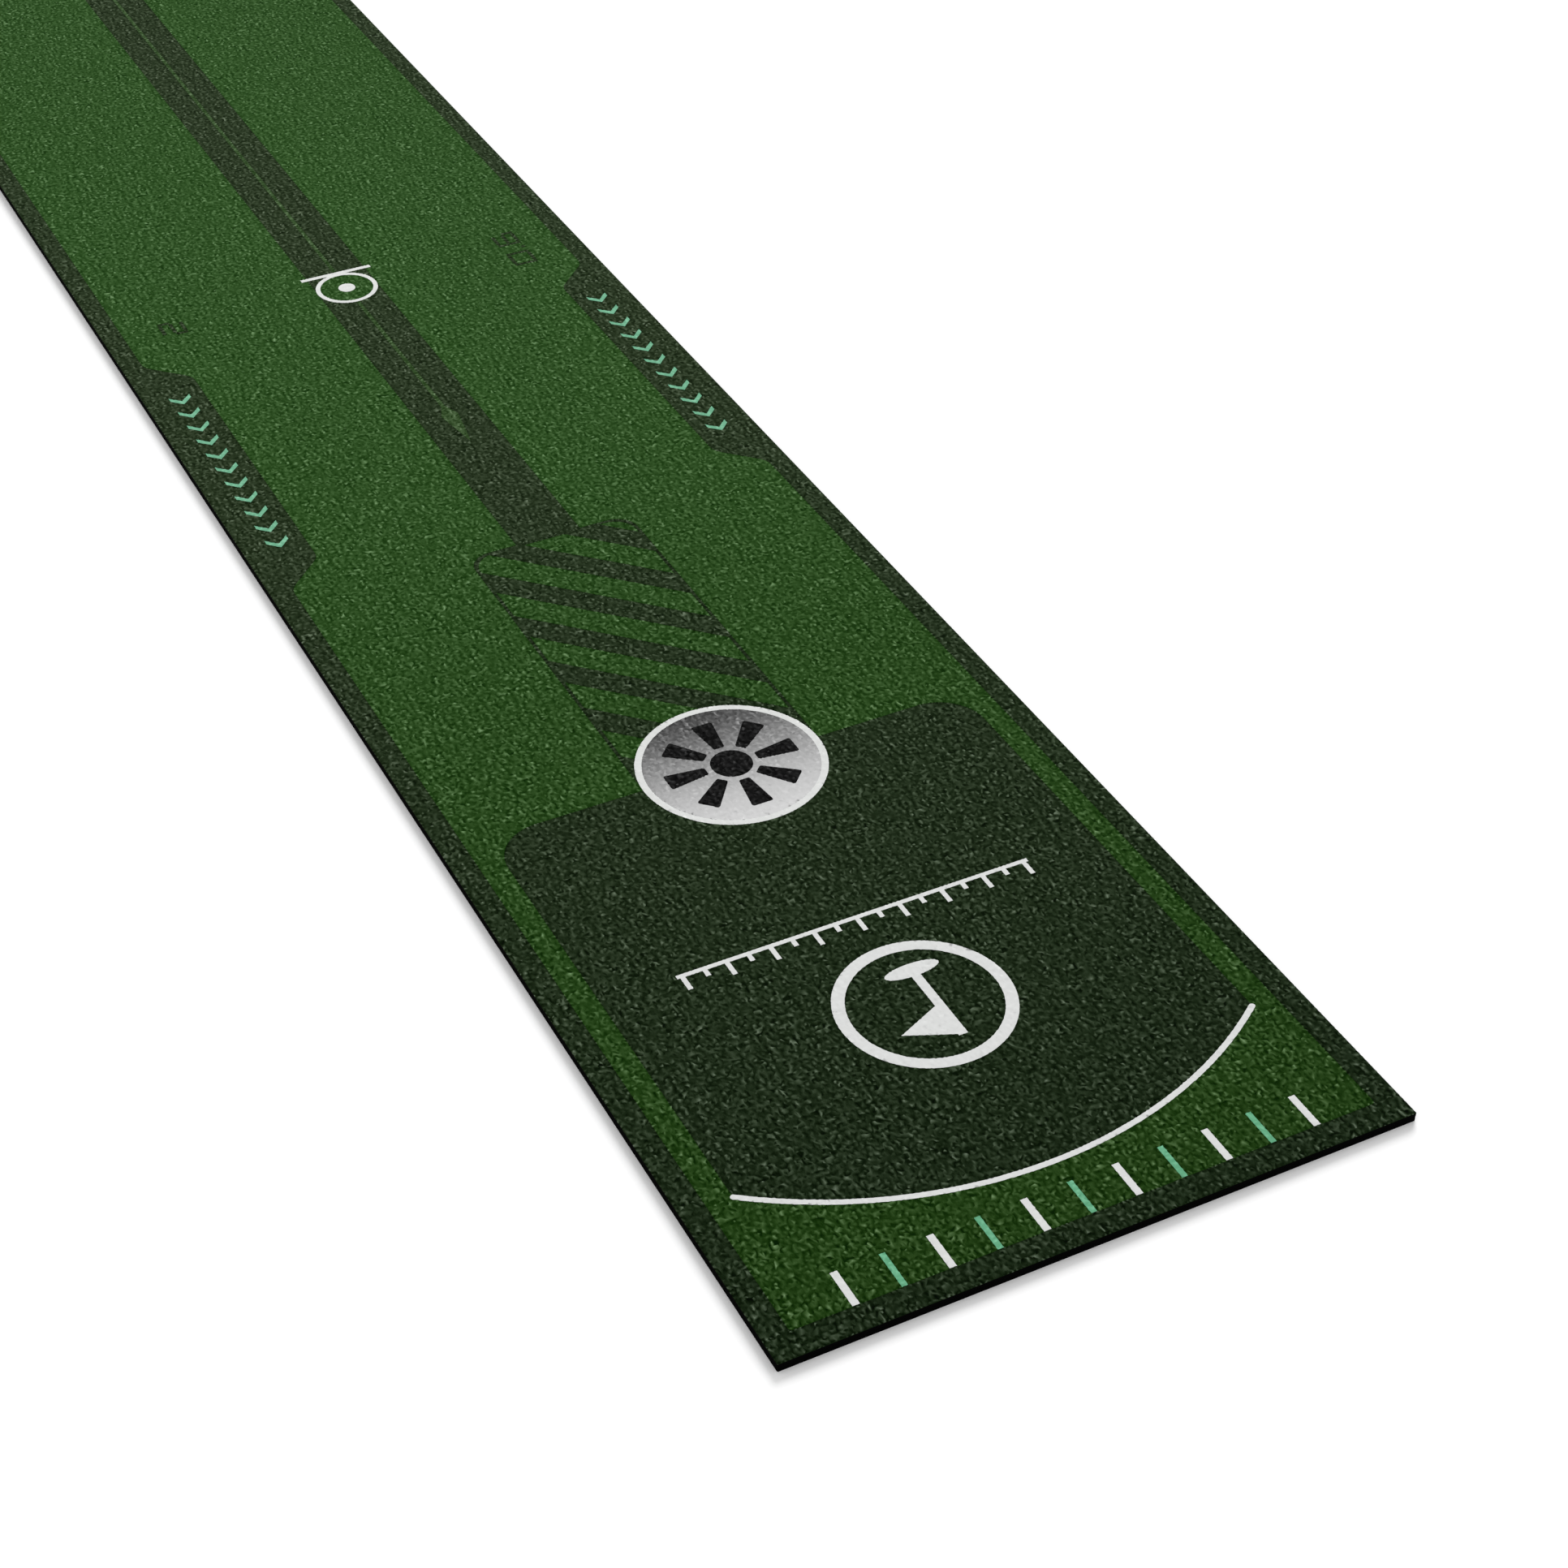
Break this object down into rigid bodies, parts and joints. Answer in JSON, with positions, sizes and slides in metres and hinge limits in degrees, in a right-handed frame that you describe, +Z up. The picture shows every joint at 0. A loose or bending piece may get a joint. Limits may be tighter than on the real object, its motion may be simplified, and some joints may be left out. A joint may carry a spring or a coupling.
{
  "type": "practice putting mat",
  "caption": "Flat practice putting mat: a rubber base under a short cut pile dyed with a border, a cup target on a dark panel, a hatched runway, ball marks and inch ticks.",
  "frame": {"origin": "middle of the underside of the rubber base, on the floor", "axes": "+Y along the length from the cup end to the far end, +X to the right of someone who looks along +Y, +Z up out of the pile"},
  "size_m": [0.35, 3, 0.0052],
  "materials": {
    "rubber": "matt black nitrile rubber with a fine moulded non-slip underside",
    "backing": "dark woven primary backing, seen only at the cut edge",
    "pile_dark": "short cut nylon pile dyed dark green-grey, with paler tuft tips",
    "pile_green": "short cut nylon pile dyed grass green, with paler tuft tips",
    "pile_white": "short cut nylon pile left undyed, near white",
    "pile_mint": "short cut nylon pile dyed mint green",
    "pile_grey": "short cut nylon pile dyed grey, shaded from light at the near side of the cup to dark at its far side",
    "pile_black": "short cut nylon pile dyed black"
  },
  "bodies": {
    "root": {"rubber_base": "rubber", "primary_backing": "backing", "border_near": "pile_dark", "border_far": "pile_dark", "border_left": "pile_dark", "border_right": "pile_dark", "cup_panel": "pile_dark", "flag_emblem_ground": "pile_dark", "runway_hatching": "pile_dark", "track_0": "pile_dark", "track_1_left": "pile_dark", "track_1_right": "pile_dark", "track_2_left": "pile_dark", "track_2_right": "pile_dark", "track_3_left": "pile_dark", "track_3_right": "pile_dark", "field": "pile_green", "ball_mark_ground_1": "pile_green", "ball_mark_ground_2": "pile_green", "ball_mark_ground_3": "pile_green", "ball_mark_ground_4": "pile_green", "runway_green_1": "pile_green", "runway_green_2": "pile_green", "runway_green_3": "pile_green", "runway_green_4": "pile_green", "runway_green_5": "pile_green", "runway_green_6": "pile_green", "runway_green_7": "pile_green", "aim_arrow": "pile_green", "aim_line_1": "pile_green", "aim_line_2": "pile_green", "aim_line_3": "pile_green", "panel_arc": "pile_white", "panel_scale": "pile_white", "flag_emblem": "pile_white", "cup_rim": "pile_white", "ball_mark_1": "pile_white", "ball_mark_2": "pile_white", "ball_mark_3": "pile_white", "ball_mark_4": "pile_white", "inch_tick_01": "pile_white", "inch_tick_03": "pile_white", "inch_tick_05": "pile_white", "inch_tick_07": "pile_white", "inch_tick_09": "pile_white", "inch_tick_11": "pile_white", "inch_tick_02": "pile_mint", "inch_tick_04": "pile_mint", "inch_tick_06": "pile_mint", "inch_tick_08": "pile_mint", "inch_tick_10": "pile_mint", "tab_arrow_left": "pile_mint", "tab_arrow_right": "pile_mint", "cup_face": "pile_grey", "cup_vents": "pile_black"}
  },
  "joints": []
}
